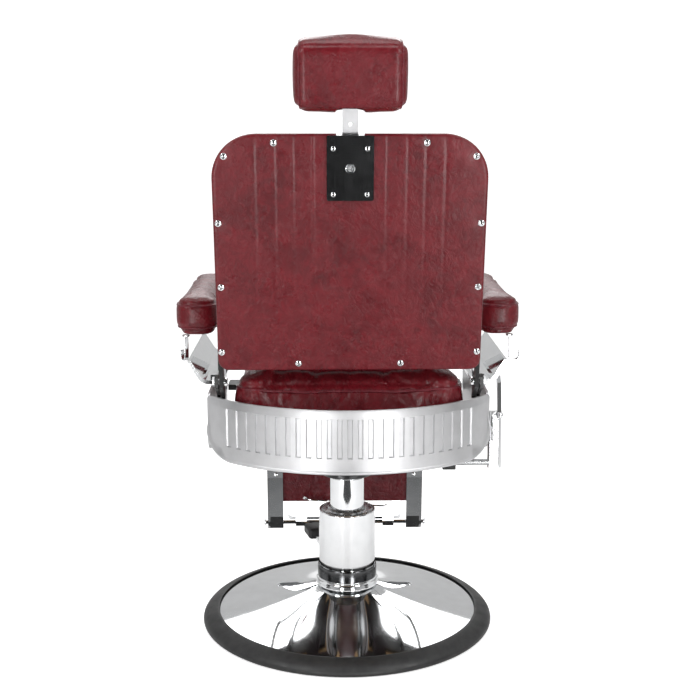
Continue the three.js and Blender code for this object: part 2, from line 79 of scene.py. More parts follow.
# ---------------------------------------------------------------- materials
class Nodes:
    """A short way to write a node material: every method adds one node and returns its output."""

    def __init__(self, name):
        self.material = bpy.data.materials.new(name)
        self.material.use_nodes = True
        self.tree = self.material.node_tree
        self.shader = self.tree.nodes["Principled BSDF"]
        self.where = self.add("ShaderNodeTexCoord").outputs["Object"]

    def add(self, kind, **settings):
        node = self.tree.nodes.new(kind)
        for key, value in settings.items():
            setattr(node, key, value)
        return node

    def put(self, node, socket, value):
        target = node.inputs[socket]
        if isinstance(value, bpy.types.NodeSocket):
            self.tree.links.new(value, target)
        else:
            target.default_value = value

    def noise(self, scale, detail=4, rough=0.5, warp=0.0, where=None):
        n = self.add("ShaderNodeTexNoise")
        self.put(n, "Vector", where or self.where)
        for socket, value in (("Scale", scale), ("Detail", detail), ("Roughness", rough), ("Distortion", warp)):
            self.put(n, socket, value)
        return n.outputs["Fac"]

    def stretched(self, sx, sy, sz):
        n = self.add("ShaderNodeMapping")
        self.put(n, "Vector", self.where)
        self.put(n, "Scale", (sx, sy, sz))
        return n.outputs["Vector"]

    def slanted(self, sx, sy, sz):
        """The coordinates leaning 25 degrees to one side, squeezed so that a noise runs in short strokes."""
        n = self.add("ShaderNodeMapping")
        self.put(n, "Vector", self.where)
        self.put(n, "Rotation", (0, math.radians(25), math.radians(25)))
        self.put(n, "Scale", (sx, sy, sz))
        return n.outputs["Vector"]

    def cells(self, scale, where=None, feature="DISTANCE_TO_EDGE"):
        n = self.add("ShaderNodeTexVoronoi", feature=feature)
        self.put(n, "Vector", where or self.where)
        self.put(n, "Scale", scale)
        return n.outputs["Distance"]

    def warped(self, scale, amount):
        """The coordinates pushed about by a noise, so that a pattern on them wanders."""
        n = self.add("ShaderNodeTexNoise")
        self.put(n, "Vector", self.where)
        self.put(n, "Scale", scale)
        mix = self.add("ShaderNodeMixRGB", blend_type="LINEAR_LIGHT")
        self.put(mix, "Fac", amount)
        self.put(mix, "Color1", self.where)
        self.put(mix, "Color2", n.outputs["Color"])
        return mix.outputs["Color"]

    def ramp(self, value, *stops):
        n = self.add("ShaderNodeValToRGB")
        self.put(n, "Fac", value)
        ramp = n.color_ramp
        while len(ramp.elements) < len(stops):
            ramp.elements.new(0.5)
        for element, (at, color) in zip(ramp.elements, stops):
            element.position = at
            element.color = (*color, 1) if hasattr(color, "__len__") else (color, color, color, 1)
        return n.outputs["Color"]

    def math(self, a, b, operation="ADD"):
        n = self.add("ShaderNodeMath", operation=operation)
        self.put(n, 0, a)
        self.put(n, 1, b)
        return n.outputs[0]

    def mix(self, factor, a, b, blend="MIX"):
        n = self.add("ShaderNodeMixRGB", blend_type=blend)
        self.put(n, "Fac", factor)
        self.put(n, "Color1", a if isinstance(a, bpy.types.NodeSocket) else (*a, 1))
        self.put(n, "Color2", b if isinstance(b, bpy.types.NodeSocket) else (*b, 1))
        return n.outputs["Color"]

    def bump(self, height, strength, distance, under=None):
        n = self.add("ShaderNodeBump")
        self.put(n, "Height", height)
        self.put(n, "Strength", strength)
        self.put(n, "Distance", distance)
        if under is not None:
            self.put(n, "Normal", under)
        return n.outputs["Normal"]

    def finish(self, color, roughness, normal=None, **fixed):
        self.put(self.shader, "Base Color", color)
        self.put(self.shader, "Roughness", roughness)
        if normal is not None:
            self.put(self.shader, "Normal", normal)
        for socket, value in fixed.items():
            self.shader.inputs[socket.replace("_", " ")].default_value = value
        return self.material


def vinyl_material(name, dark, mid, light):
    """Glazed, crinkled vinyl: mottled colour, lighter slanting streaks painted in as sheen, creases darkened with
    painted shade and a fine pore grain.
    """
    m = Nodes(name)
    wander = m.warped(9, 0.05)
    mottle = m.noise(9, 7, 0.68, 0.8)
    color = m.ramp(mottle, (0.24, dark), (0.44, mid), (0.76, light))
    # painted sheen: lighter slanting streaks are mixed into the colour to stand in for highlights
    streak = m.noise(1, 8, 0.72, 1.6, m.slanted(38, 14, 30))
    sheen_streaks = m.ramp(streak, (0.5, 0), (0.56, 0.5), (0.6, 0.1), (0.68, 0.55))
    color = m.mix(sheen_streaks, color, [c * 1.25 for c in light])
    crease = m.ramp(m.cells(30, m.warped(12, 0.1)), (0.0, 0.0), (0.05, 0.75), (0.16, 1.0))
    # painted shade: the colour is darkened along the creases
    color = m.mix(m.ramp(crease, (0.0, 0.3), (0.6, 0.0)), color, dark)
    folds = m.noise(24, 8, 0.66, 1.8, wander)
    slants = m.noise(1, 7, 0.6, 1.2, m.slanted(60, 16, 44))
    normal = m.bump(m.math(folds, slants), 0.75, 2.6 * MM)
    normal = m.bump(crease, 0.2, 0.6 * MM, normal)
    normal = m.bump(m.noise(900, 3, 0.6), 0.14, 0.2 * MM, normal)
    rough = m.ramp(m.noise(18, 5, 0.6), (0.3, 0.22), (0.7, 0.34))
    return m.finish(color, rough, normal, Specular_IOR_Level=0.24, Coat_Weight=0.16, Coat_Roughness=0.2)


def metal_material(name, color, low, high, grain=0.0, brushed=None, worn=0.06):
    """Plated, cast or brushed metal: uneven polish, handling marks and an optional grain."""
    m = Nodes(name)
    marks = m.noise(14, 7, 0.65, 0.6)
    streaks = m.noise(1, 3, 0.6, 0, m.stretched(*brushed)) if brushed else m.noise(240, 3)
    rough = m.ramp(m.mix(0.5, marks, streaks), (0.35, low), (0.65, high))
    tone = m.ramp(m.noise(40, 4), (0.3, [c * (1 - worn) for c in color]), (0.7, color))
    normal = m.bump(streaks if brushed else m.noise(1100, 2), grain, 0.15 * MM) if grain else None
    return m.finish(tone, rough, normal, Metallic=1.0)


def dull_material(name, dark, light, low, high, scale=60, grain=0.1, depth=0.3):
    """Paint, rubber or moulding: slight dust and polish changes and a fine surface texture."""
    m = Nodes(name)
    tone = m.ramp(m.noise(scale, 6, 0.6), (0.3, dark), (0.75, light))
    rough = m.ramp(m.noise(scale * 0.6, 5), (0.3, low), (0.7, high))
    return m.finish(tone, rough, m.bump(m.noise(scale * 14, 3), grain, depth * MM))


def wood_material(name):
    m = Nodes(name)
    grain = m.noise(1, 6, 0.6, 0.8, m.stretched(6, 120, 90))
    tone = m.ramp(grain, (0.3, (0.32, 0.19, 0.09)), (0.55, (0.5, 0.33, 0.17)), (0.75, (0.62, 0.44, 0.25)))
    return m.finish(tone, m.ramp(grain, (0.3, 0.55), (0.7, 0.75)), m.bump(grain, 0.25, 0.3 * MM))


VINYL = vinyl_material("oxblood_vinyl", (0.05, 0.0025, 0.0045), (0.092, 0.004, 0.0075), (0.14, 0.009, 0.014))
PIPING = vinyl_material("piping_vinyl", (0.05, 0.004, 0.007), (0.09, 0.007, 0.012), (0.15, 0.016, 0.024))
CHROME = metal_material("chrome_plate", (0.86, 0.87, 0.88), 0.03, 0.07)
CAST = metal_material("satin_cast_aluminium", (0.62, 0.62, 0.63), 0.36, 0.46, grain=0.08, worn=0.08)
STEEL = metal_material("bright_steel", (0.55, 0.56, 0.57), 0.2, 0.36, grain=0.1)
STAINLESS = metal_material("dark_stainless", (0.11, 0.112, 0.115), 0.14, 0.24, grain=0.05,
                           brushed=(1400, 30, 30))
PAINT = dull_material("black_enamel", (0.006, 0.006, 0.006), (0.016, 0.016, 0.016), 0.28, 0.42)
RUBBER = dull_material("black_rubber", (0.009, 0.009, 0.0095), (0.022, 0.022, 0.022), 0.38, 0.55, grain=0.2)
WOOD = wood_material("bare_plywood")
THREAD = dull_material("dark_thread", (0.05, 0.008, 0.01), (0.1, 0.02, 0.024), 0.5, 0.7, scale=400, grain=0.3)

BY_SLOT = {"chrome": CHROME, "cast_aluminium": CAST, "steel": STEEL, "stainless": STAINLESS,
           "black_paint": PAINT, "rubber": RUBBER, "upholstery": VINYL, "plywood": WOOD}
SLOT_OF = {s["node"]: s["material_slot"] for s in frame["record"]["subparts"]}
BODY_OF = {n: b for b, nodes in frame["record"]["behaviour"]["bodies"].items() for n in nodes}


# ---------------------------------------------------------------- making pieces
def smooth(obj, angle=35):
    for p in obj.data.polygons:
        p.use_smooth = True
    obj.data.set_sharp_from_angle(angle=math.radians(angle))


def piece(name, verts, faces, body, slot, replaces=(), material=None, into=FLAT, angle=35):
    """A mesh piece in the row frame that rides on a body."""
    mesh = bpy.data.meshes.new(name)
    mesh.from_pydata([into @ Vector(v) for v in verts], [], faces)
    mesh.validate()
    obj = bpy.data.objects.new(name, mesh)
    bpy.context.scene.collection.objects.link(obj)
    outward(mesh)
    smooth(obj, angle)
    mesh.materials.append(material or BY_SLOT[slot])
    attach(obj, body)
    if replaces:
        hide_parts(*replaces)
    return obj


def outward(mesh):
    bm = bmesh.new()
    bm.from_mesh(mesh)
    bmesh.ops.remove_doubles(bm, verts=bm.verts, dist=1e-6)
    bmesh.ops.recalc_face_normals(bm, faces=bm.faces)
    bm.to_mesh(mesh)
    bm.free()


def bevel(obj, width, segments=2, angle=35):
    mod = obj.modifiers.new("bevel", "BEVEL")
    mod.width = width * MM
    mod.segments = segments
    mod.limit_method = "ANGLE"
    mod.angle_limit = math.radians(angle)
    mod.harden_normals = False
    return obj


def rounded_profile(points, radii, steps=5):
    """A polyline in the (r, z) plane with its corners rounded; radii is one number or one for each point."""
    n = len(points)
    radii = [radii] * n if isinstance(radii, (int, float)) else radii
    out = []
    for i, p in enumerate(points):
        p = Vector(p)
        if i in (0, n - 1) and points[0] != points[-1] and radii[i] == 0:
            out.append(p)
            continue
        a, b = Vector(points[i - 1]) - p, Vector(points[(i + 1) % n]) - p
        r = min(radii[i], 0.45 * a.length, 0.45 * b.length)
        if r <= 0:
            out.append(p)
            continue
        start, end = p + a.normalized() * r, p + b.normalized() * r
        for k in range(steps + 1):
            t = k / steps
            out.append(start * (1 - t) ** 2 + p * 2 * t * (1 - t) + end * t ** 2)
    return out


def lathe(name, profile, body, slot, replaces=(), radius=1.0, segments=144, **kw):
    """profile is a closed ring of (radius, z) in mm, off the axis, with its corners rounded by radius in mm."""
    ring = rounded_profile(profile, radius)
    n = len(ring)
    verts = [
        (r * MM * math.cos(a), r * MM * math.sin(a), z * MM)
        for a in (2 * math.pi * k / segments for k in range(segments)) for r, z in ring
    ]
    faces = [
        (k * n + i, k * n + (i + 1) % n, (k + 1) % segments * n + (i + 1) % n, (k + 1) % segments * n + i)
        for k in range(segments) for i in range(n)
    ]
    return piece(name, verts, faces, body, slot, replaces, **kw)


def tube(name, path, radius, body, slot, closed=False, sides=10, into=FLAT, **kw):
    """A round tube with capped ends along points in metres; radius in metres."""
    pts = [into @ Vector(p) for p in path]
    n = len(pts)
    verts, faces = [], []
    side = None
    for i, p in enumerate(pts):
        a = pts[i - 1] if (closed or i) else p
        b = pts[(i + 1) % n] if (closed or i < n - 1) else p
        along = (b - a).normalized()
        if side is None:
            side = along.orthogonal().normalized()
        side = (side - along * side.dot(along)).normalized()
        other = along.cross(side)
        for k in range(sides):
            t = 2 * math.pi * k / sides
            verts.append(p + (side * math.cos(t) + other * math.sin(t)) * radius)
    for i in range(n if closed else n - 1):
        shift = 0
        if closed and i == n - 1:
            first = verts[:sides]
            last = verts[i * sides:(i + 1) * sides]
            shift = min(range(sides), key=lambda s: sum((last[k] - first[(k + s) % sides]).length
                                                        for k in range(sides)))
        for k in range(sides):
            j = (i + 1) % n
            faces.append((i * sides + k, i * sides + (k + 1) % sides,
                          j * sides + (k + 1 + shift) % sides, j * sides + (k + shift) % sides))
    if not closed:
        faces.append(tuple(range(sides - 1, -1, -1)))
        faces.append(tuple(range((n - 1) * sides, n * sides)))
    return piece(name, verts, faces, body, slot, **kw)


def dress_nodes():
    """Every CAD node that stays gets its finish, softened edges and smooth round faces."""
    for name, obj in frame["nodes"].items():
        obj.data.materials.clear()
        obj.data.materials.append(CAST if name == "headrest_post" else BY_SLOT[SLOT_OF[name]])
        for p in obj.data.polygons:
            p.use_smooth = True
        obj.data.set_sharp_from_angle(angle=math.radians(30))
        if not obj.hide_render:
            bevel(obj, 0.6, 2, 40)


# ---------------------------------------------------------------- cushions
def applied(obj):
    """Replaces obj's mesh with what its modifiers make of it."""
    bpy.context.view_layer.update()
    shown = obj.evaluated_get(bpy.context.evaluated_depsgraph_get())
    mesh = bpy.data.meshes.new_from_object(shown)
    obj.modifiers.clear()
    old, obj.data = obj.data, mesh
    bpy.data.meshes.remove(old)
    return obj


def with_normals(obj):
    """Each point of obj with its normal, all normals taken before any point moves."""
    return list(zip(obj.data.vertices, [v.normal.copy() for v in obj.data.vertices]))


def start_cushion(name, node, voxel, shrink, resting, into=FLAT):
    """A fine mesh of the node's solid, drawn in by shrink except where resting(point) holds it flat."""
    mesh = frame["nodes"][node].data.copy()
    mesh.name = name
    obj = bpy.data.objects.new(name, mesh)
    bpy.context.scene.collection.objects.link(obj)
    remesh = obj.modifiers.new("voxels", "REMESH")
    remesh.mode = "VOXEL"
    remesh.voxel_size = voxel * MM
    applied(obj)
    relax = obj.modifiers.new("relax", "SMOOTH")
    relax.iterations = 6
    applied(obj)
    held = obj.vertex_groups.new(name="resting")
    for v, normal in with_normals(obj):
        if resting(into @ v.co):
            held.add([v.index], 1.0, "REPLACE")
        else:
            v.co -= normal * shrink * MM
    return obj


def inflate(cushions, pressure=4.0, last=20):
    """Blows the cushions up with a cloth simulation and keeps the result, each point held within its cap."""
    scene = bpy.context.scene
    starts = {}
    for obj, cap in cushions:
        starts[obj.name] = [v.co.copy() for v in obj.data.vertices]
        cloth = obj.modifiers.new("air", "CLOTH")
        s = cloth.settings
        s.use_pressure = True
        s.uniform_pressure_force = pressure
        s.vertex_group_mass = "resting"
        s.quality = 5
        s.effector_weights.gravity = 0
        cloth.point_cache.frame_end = last
    for f in range(1, last + 1):
        scene.frame_set(f)
    for obj, cap in cushions:
        applied(obj)
        for v, start in zip(obj.data.vertices, starts[obj.name]):
            moved = v.co - start
            if moved.length > cap * MM:
                v.co = start + moved.normalized() * cap * MM
    scene.frame_set(1)


def subdivide(obj):
    mod = obj.modifiers.new("fine", "SUBSURF")
    mod.levels = mod.render_levels = 1
    return applied(obj)


def press(obj, depth_at, into=FLAT):
    """Sinks each point along its normal by depth_at(local point, local normal), in mm."""
    turn = into.to_3x3()
    for v, normal in with_normals(obj):
        depth = depth_at(into @ v.co, turn @ normal)
        if depth:
            v.co -= normal * depth * MM


def furrow(distance, depth, width):
    """The depth in mm of a sewn channel at a distance in mm from its seam."""
    return depth * math.exp(-((distance / width) ** 2))


def seam_path(obj, points, into=FLAT, lift=0.0, reach=0.06):
    """The nearest points of the cushion's surface to the given local points, raised by lift mm."""
    tree = BVHTree.FromPolygons([v.co for v in obj.data.vertices], [p.vertices for p in obj.data.polygons])
    back = into.inverted()
    out = []
    for p in points:
        hit, normal, _, _ = tree.find_nearest(back @ Vector(p), reach)
        if hit is not None:
            out.append(hit + normal * lift * MM)
    return out


def evened(path, closed, rounds=4):
    """The path with its small jumps smoothed away."""
    n = len(path)
    for _ in range(rounds):
        path = [
            p if not closed and i in (0, n - 1) else (path[i - 1] + p * 2 + path[(i + 1) % n]) / 4
            for i, p in enumerate(path)
        ]
    return path


def welt(name, cushion, points, body, into=FLAT, radius=2.4, lift=0.6, closed=True):
    """Piping sewn into a seam."""
    path = evened(seam_path(cushion, points, into, lift), closed, 14)
    return tube(name, path, radius * MM, body, "upholstery", closed=closed, material=PIPING)


def rounded_loop(x0, x1, y0, y1, radius, step=6.0):
    """A rounded rectangle as evenly spaced (x, y) in mm; radius is one number, or four from the low corner."""
    radii = [radius] * 4 if isinstance(radius, (int, float)) else radius
    centres = [(x0 + radii[0], y0 + radii[0]), (x1 - radii[1], y0 + radii[1]),
               (x1 - radii[2], y1 - radii[2]), (x0 + radii[3], y1 - radii[3])]
    corners = []
    for k, ((cx, cy), r) in enumerate(zip(centres, radii)):
        start = math.pi + k * math.pi / 2
        arc = max(3, int(r * math.pi / 2 / step))
        turns = [start + math.pi / 2 * i / arc for i in range(arc + 1)]
        corners += [(cx + r * math.cos(a), cy + r * math.sin(a)) for a in turns]
    out = []
    for a, b in zip(corners, corners[1:] + corners[:1]):
        steps = max(1, int(math.dist(a, b) / step))
        out += [(a[0] + (b[0] - a[0]) * i / steps, a[1] + (b[1] - a[1]) * i / steps) for i in range(steps)]
    return out


def loop_distance(x, y, x0, x1, y0, y1, radius):
    """How far inside a rounded rectangle (x, y) is, in mm; negative outside."""
    qx = abs(x - (x0 + x1) / 2) - (x1 - x0) / 2 + radius
    qy = abs(y - (y0 + y1) / 2) - (y1 - y0) / 2 + radius
    return radius - math.hypot(max(qx, 0), max(qy, 0)) - min(max(qx, qy), 0)


def stitches(name, path, body, length=3.2, gap=1.6, radius=0.45, closed=False):
    """A row of thread stitches along a path of points on a surface."""
    verts, faces = [], []
    travelled, due = 0.0, 0.0
    pairs = list(zip(path, path[1:] + path[:1])) if closed else list(zip(path, path[1:]))
    for a, b in pairs:
        span = (b - a).length
        if span < 1e-9:
            continue
        along = (b - a) / span
        side = along.orthogonal().normalized()
        other = along.cross(side)
        while due < travelled + span:
            start = a + along * (due - travelled)
            base = len(verts)
            for t, r in ((0.0, 0.35), (0.2, 1.0), (0.8, 1.0), (1.0, 0.35)):
                centre = start + along * t * length * MM
                for k in range(6):
                    angle = math.pi * k / 3
                    verts.append(centre + (side * math.cos(angle) + other * math.sin(angle)) * r * radius * MM)
            for ring in range(3):
                for k in range(6):
                    i, j = base + ring * 6 + k, base + ring * 6 + (k + 1) % 6
                    faces.append((i, j, j + 6, i + 6))
            faces.append(tuple(range(base + 5, base - 1, -1)))
            faces.append(tuple(range(base + 18, base + 24)))
            due += (length + gap) * MM
        travelled += span
    return piece(name, verts, faces, body, "upholstery", material=THREAD, angle=60)


FLUTES = (69, 107, 141, 178)


def finish_cushion(obj, node, body):
    obj.data.materials.clear()
    obj.data.materials.append(VINYL)
    obj.vertex_groups.clear()
    for p in obj.data.polygons:
        p.use_smooth = True
    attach(obj, body)
    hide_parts(node)
    return obj


def make_cushions():
    seat_low, seat_high = (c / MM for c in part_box("seat_cushion"))
    back_low, back_high = (c / MM for c in local_box("back_cushion", TO_BACK))
    head_low, head_high = (c / MM for c in local_box("headrest_cushion", TO_BACK))
    arm_low, arm_high = (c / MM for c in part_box("arm_pad_left"))
    calf_low, calf_high = (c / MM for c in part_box("calf_pad"))

    seat = start_cushion("seat_cushion_cover", "seat_cushion", 6, 3, lambda p: p.z / MM < seat_low.z + 6)
    back = start_cushion("back_cushion_cover", "back_cushion", 6, 4,
                         lambda p: p.y / MM > back_high.y - 6, TO_BACK)
    head = start_cushion("headrest_cover", "headrest_cushion", 4, 3,
                         lambda p: p.y / MM > head_high.y - 4, TO_BACK)
    arm = start_cushion("arm_pad_cover_left", "arm_pad_left", 4, 5, lambda p: p.z / MM < arm_low.z + 4)
    calf = start_cushion("calf_pad_cover", "calf_pad", 5, 5, lambda p: False)
    cushions = [(seat, 24), (back, 24), (head, 12), (arm, 12), (calf, 10)]
    inflate(cushions)
    for obj, _ in cushions:
        subdivide(obj)

    def seat_shape(p, n):
        x, y, z = p.x / MM, p.y / MM, p.z / MM
        depth = 0.0
        if z > seat_low.z + 50 and n.z > 0.3:
            edge = loop_distance(x, y, -190, 190, -222, 216, 50)
            depth += furrow(edge, 4.0, 5)
            if edge > 0:
                depth += sum(furrow(abs(x) - f, 3.2, 5) for f in FLUTES)
                depth -= 1.5
        depth += furrow(z - (seat_high.z - 20), 2.4, 5) if n.z < 0.75 else 0
        depth += furrow(z - (seat_low.z + 14), 2.0, 5) if abs(n.z) < 0.75 else 0
        return depth

    def back_shape(p, n):
        x, t, s = p.x / MM, p.y / MM, p.z / MM
        depth = 0.0
        if n.y < -0.3 and t < back_high.y - 40:
            edge = loop_distance(x, s, -202, 202, 56, 424, 50)
            depth += furrow(edge, 4.0, 5)
            if edge > 0:
                depth += sum(furrow(abs(x) - f, 3.4, 5) for f in FLUTES) - 1.5
        if n.y > -0.75:
            depth += furrow(t - (back_low.y + 22), 2.4, 5)
            depth += furrow(t - (back_high.y - 7), 2.0, 4)
        if s > back_high.z - 30:
            depth += 6.0 * math.exp(-((x / 62) ** 4)) * max(0, n.z)
        return depth

    def head_shape(p, n):
        x, t, s = p.x / MM, p.y / MM, p.z / MM
        depth = furrow(abs(x) - 97, 2.2, 3.5)
        if abs(x) < 97:
            depth += furrow(s - (head_low.z + 9), 1.8, 3) if n.z < 0.2 else 0
            depth += 1.2 * math.exp(-(((abs(x) - 55) / 30) ** 2)) * 0.5
        return depth

    def arm_shape(p, n):
        z = p.z / MM
        depth = furrow(z - (arm_high.z - 17), 2.2, 3.5) if n.z < 0.8 else 0
        return depth + (furrow(z - (arm_low.z + 11), 2.0, 3.5) if n.z > -0.8 else 0)

    def calf_shape(p, n):
        x, z = p.x / MM, p.z / MM
        edge = loop_distance(x, z, -132, 132, calf_low.z + 30, calf_high.z - 26, 26)
        return furrow(edge, 3.0, 4.5) if n.y < -0.3 else 0

    press(seat, seat_shape)
    press(back, back_shape, TO_BACK)
    press(head, head_shape, TO_BACK)
    press(arm, arm_shape)
    press(calf, calf_shape)

    arm_right = bpy.data.objects.new("arm_pad_cover_right", arm.data.copy())
    bpy.context.scene.collection.objects.link(arm_right)
    arm_right.data.transform(Matrix.Scale(-1, 4, (1, 0, 0)))
    arm_right.data.flip_normals()

    finish_cushion(seat, "seat_cushion", "seat")
    finish_cushion(back, "back_cushion", "back")
    finish_cushion(head, "headrest_cushion", "headrest")
    finish_cushion(arm, "arm_pad_left", "seat")
    finish_cushion(arm_right, "arm_pad_right", "seat")
    finish_cushion(calf, "calf_pad", "legrest")
    return {"seat": seat, "back": back, "head": head, "arm_left": arm, "arm_right": arm_right, "calf": calf,
            "boxes": {"seat": (seat_low, seat_high), "back": (back_low, back_high),
                      "head": (head_low, head_high),
                      "arm": (arm_low, arm_high), "calf": (calf_low, calf_high)}}


def sew(c):
    """Piping in the cushions' seams and thread along their flutes."""
    low, high = c["boxes"]["seat"]
    for name, z, inset in (("top", high.z - 20, 2), ("bottom", low.z + 14, 2)):
        loop = rounded_loop(low.x + inset, high.x - inset, low.y + inset, high.y - inset, 52)
        welt(f"seat_piping_{name}", c["seat"], [Vector((x, y, z)) * MM for x, y in loop], "seat",
             radius=2.8, lift=0.8)
    for k, f in enumerate(FLUTES):
        for side in (-1, 1):
            for part, cushion, body, into, line in (
                ("seat", "seat", "seat", FLAT, [(side * f, y, high.z + 30) for y in range(-212, 208, 6)]),
                ("back", "back", "back", TO_BACK, [(side * f, -150, s) for s in range(66, 416, 6)]),
            ):
                path = seam_path(c[cushion], [Vector(p) * MM for p in line], into, 0.3, 0.09)
                stitches(f"{part}_stitching_{k + 1}_{'left' if side > 0 else 'right'}", path, body)

    low, high = c["boxes"]["back"]
    for name, t in (("front", low.y + 22), ("rear", high.y - 7)):
        loop = rounded_loop(low.x + 2, high.x - 2, low.z + 2, high.z - 2, (28, 28, 80, 80))
        welt(f"back_piping_{name}", c["back"], [Vector((x, t, s)) * MM for x, s in loop], "back",
             TO_BACK, 2.8, 0.8)

    low, high = c["boxes"]["head"]
    for side, name in ((1, "left"), (-1, "right")):
        loop = rounded_loop(low.y + 2, high.y - 2, low.z + 2, high.z - 2, 24, 4)
        points = [Vector((side * 97, t, s)) * MM for t, s in loop]
        welt(f"headrest_piping_{name}", c["head"], points, "headrest", TO_BACK, 2.0, 0.7)

    low, high = c["boxes"]["arm"]
    for side, name in ((1, "left"), (-1, "right")):
        for row, z in (("top", high.z - 17), ("bottom", low.z + 11)):
            loop = rounded_loop(low.x + 1, high.x - 1, low.y + 1, high.y - 1, 36, 4)
            points = [Vector((side * x, y, z)) * MM for x, y in loop]
            welt(f"arm_piping_{row}_{name}", c["arm_" + name], points, "seat", radius=2.2, lift=0.7)


# ---------------------------------------------------------------- the back's rear panel
SCREWS = [(x, s) for side in (-1, 1) for x, s in (
    (side * 233, 425), (side * 247, 298), (side * 246, 172), (side * 249, 39),
    (side * 141, 450), (side * 100, 15))]


def make_back_panel():
    """The vinyl-covered rear panel: rolled edges, a slot behind the cover plate, faint pressed flutes."""
    low, high = (c / MM for c in local_box("back_panel", TO_BACK))
    half, top = high.x, high.z
    slot_half, slot_foot = 26.0, 346.0
    radius_top, radius_foot, roll = 84.0, 22.0, 5.0
    offsets = [0, 0.35, 1.0, 2.0, 3.3, 5.0, 8.0]

    def half_width(s):
        for r, d in ((radius_foot, s), (radius_top, top - s)):
            if d < r:
                return half - r + math.sqrt(max(0.0, r * r - (r - d) ** 2))
        return half

    def edge_distance(x, s):
        r = radius_top if s > top / 2 else radius_foot
        return loop_distance(x, s, -half, half, 0, top, r)

    rows = offsets + [8 + (radius_foot - 8) * k / 4 for k in range(1, 5)]
    rows += [radius_foot + (slot_foot - radius_foot) * k / 60 for k in range(1, 61)]
    rows += [slot_foot + (top - radius_top - slot_foot) * k / 6 for k in range(1, 7)]
    rows += [top - radius_top + (radius_top - 8) * k / 22 for k in range(1, 23)]
    rows += [top - o for o in reversed(offsets[:-1])]
    inner = [slot_half * k / 4 for k in range(-4, 5)]
    share = [k / 84 for k in range(1, 84)]

    grid = []
    for s in rows:
        w = half_width(s)
        outer = [slot_half + (w - 8 - slot_half) * k for k in share] + [w - o for o in reversed(offsets)]
        grid.append([-x for x in reversed(outer)] + inner + outer)

    def proud(x, s):
        d = max(0.0, edge_distance(x, s))
        height = 0.0
        if d < roll:
            height -= roll - math.sqrt(roll * roll - (roll - d) ** 2)
        fade = min(1.0, max(0.0, (s - 100) / 180))
        height -= 0.9 * fade * sum(math.exp(-(((abs(x) - f) / 2.2) ** 2)) for f in FLUTES)
        near = min(math.hypot(x - a, s - b) for a, b in SCREWS)
        height -= 0.7 * math.exp(-((near / 13) ** 2))
        height += 0.5 * noise.noise(Vector((x * 0.012, s * 0.012, 3))) * min(1, d / 25)
        return height

    nx, ns = len(grid[0]), len(grid)
    verts = [(x * MM, proud(x, s) * MM, s * MM) for row, s in zip(grid, rows) for x in row]
    verts += [(x * MM, -PANEL_THICK, s * MM) for row, s in zip(grid, rows) for x in row]
    under = nx * ns
    quads = [
        (j * nx + i, j * nx + i + 1, (j + 1) * nx + i + 1, (j + 1) * nx + i)
        for j in range(ns - 1) for i in range(nx - 1)
        if not (rows[j] >= slot_foot - 1e-6 and abs(grid[j][i] + grid[j][i + 1]) / 2 < slot_half)
    ]
    edges = {}
    for q in quads:
        for a, b in zip(q, q[1:] + q[:1]):
            edges.setdefault(frozenset((a, b)), []).append((a, b))
    faces = quads + [tuple(reversed([v + under for v in q])) for q in quads]
    faces += [(b, a, a + under, b + under) for runs in edges.values() if len(runs) == 1 for a, b in runs]
    piece("back_panel_cover", verts, faces, "back", "upholstery", ("back_panel",), into=BACK, angle=50)


def screw(name, body, slot, at, into, head=4.2, washer=None):
    """A domed screw head that points along local +y, with a cupped washer if washer gives its radius."""
    verts, faces = [], []
    n = 36
    if washer:
        rings = [(washer, 0.0), (washer, 0.5), (washer * 0.93, 1.2), (washer * 0.8, 1.9), (head * 1.16, 2.1),
                 (head * 1.04, 1.2), (head, 1.2)]
    else:
        rings = [(head, 0.0), (head, 1.0)]
    lift = rings[-1][1]
    rings += [(head * math.cos(a), lift + 1.1 * math.sin(a)) for a in (0.35, 0.7, 1.05, 1.3, 1.45)]
    for r, h in rings:
        for k in range(n):
            a = 2 * math.pi * k / n + 0.4
            verts.append(((r * math.cos(a)) * MM, h * MM, (r * math.sin(a)) * MM))
    for i in range(len(rings) - 1):
        for k in range(n):
            faces.append((i * n + k, i * n + (k + 1) % n, (i + 1) * n + (k + 1) % n, (i + 1) * n + k))
    faces.append(tuple(range(n)))
    last = (len(rings) - 1) * n
    faces.append(tuple(range(last, last + n)))
    return piece(name, verts, faces, body, slot, into=into @ Matrix.Translation(Vector(at) * MM))


def make_fasteners():
    cover_rear = local_box("headrest_plate", TO_BACK)[1].y / MM
    for k, (x, s) in enumerate(SCREWS):
        screw(f"panel_screw_{k + 1:02d}", "back", "chrome", (x, -0.6, s), BACK, 3.8, 6.6)
        # painted shade: a dark cross inlay stands for the shade inside the screw's cross recess
        recess_shade_cross(f"panel_screw_shade_cross_{k + 1:02d}", (x, 1.45, s), BACK, "back")
    plate_low, plate_high = (c / MM for c in local_box("headrest_plate", TO_BACK))
    for k, (x, s) in enumerate([(x, s) for x in (-31.5, 31.5) for s in (plate_low.z + 12, plate_high.z - 24)]):
        screw(f"plate_screw_{k + 1}", "back", "chrome", (x, cover_rear, s), BACK, 4.6)
        # painted shade: a dark cross inlay stands for the shade inside the screw's cross recess
        recess_shade_cross(f"plate_screw_shade_cross_{k + 1}", (x, cover_rear + 1.95, s), BACK, "back")
    middle = (plate_low.z + plate_high.z) / 2
    turns = [2 * math.pi * k / 40 for k in range(40)]
    ring = [(8.2 * math.cos(a), cover_rear + 0.5, middle + 8.2 * math.sin(a)) for a in turns]
    tube("button_bezel", [Vector(p) * MM for p in ring], 1.1 * MM, "back", "chrome", closed=True, into=BACK)


